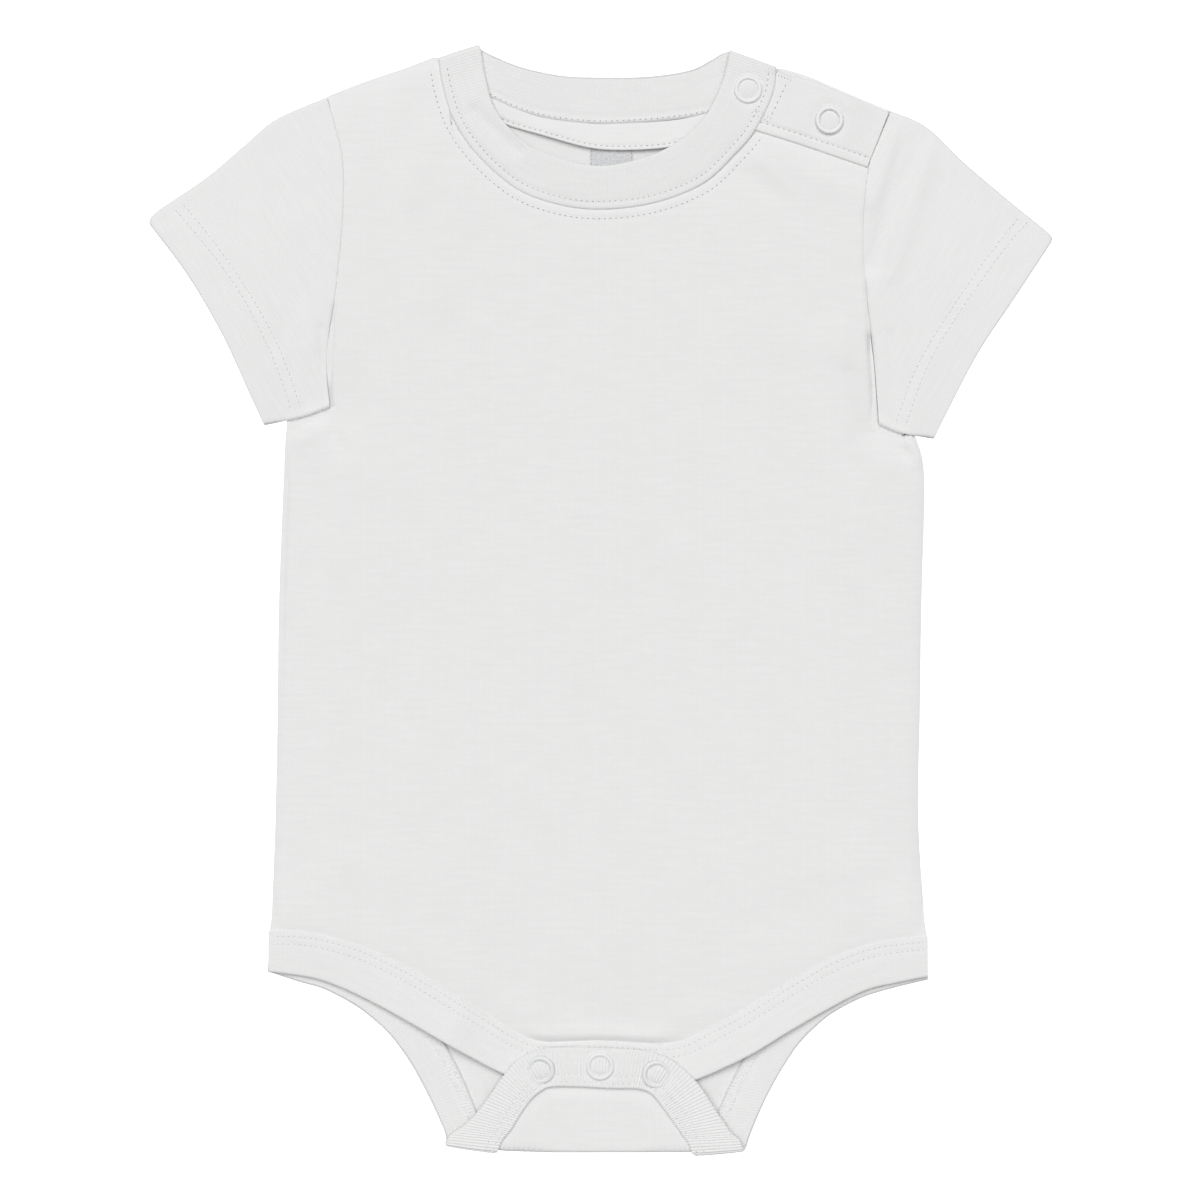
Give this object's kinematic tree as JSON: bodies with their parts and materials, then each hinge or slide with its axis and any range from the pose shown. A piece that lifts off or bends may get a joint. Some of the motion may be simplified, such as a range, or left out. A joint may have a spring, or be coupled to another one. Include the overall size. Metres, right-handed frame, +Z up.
{
  "type": "baby onesie",
  "caption": "White short-sleeved baby bodysuit laid flat, with a ribbed neckband, a shoulder opening, bound leg openings and a crotch flap snapped shut.",
  "frame": {"origin": "middle of the outline, on the surface that the back lies on", "axes": "+X to the viewer's right, +Y to the neck, +Z up out of the front"},
  "size_m": [0.3342, 0.4103, 0.0073],
  "materials": {
    "jersey": "soft matte white cotton jersey",
    "rib": "matte white one by one cotton rib",
    "tape": "matte white jersey tape",
    "label": "matte light grey woven tape, blank",
    "snap": "glossy white"
  },
  "bodies": {
    "root": {"back_panel": "jersey", "front_panel": "jersey", "sleeve_left": "jersey", "sleeve_right": "jersey", "placket_back": "jersey", "placket_front": "jersey", "neckband": "rib", "leg_binding_front": "rib", "leg_binding_back": "rib", "neck_tape": "tape", "size_label": "label", "snap_core_neck": "snap", "snap_core_shoulder": "snap", "snap_core_crotch_left": "snap", "snap_core_crotch_middle": "snap", "snap_core_crotch_right": "snap", "snap_ring_neck": "snap", "snap_ring_shoulder": "snap", "snap_ring_crotch_left": "snap", "snap_ring_crotch_middle": "snap", "snap_ring_crotch_right": "snap"}
  },
  "joints": []
}
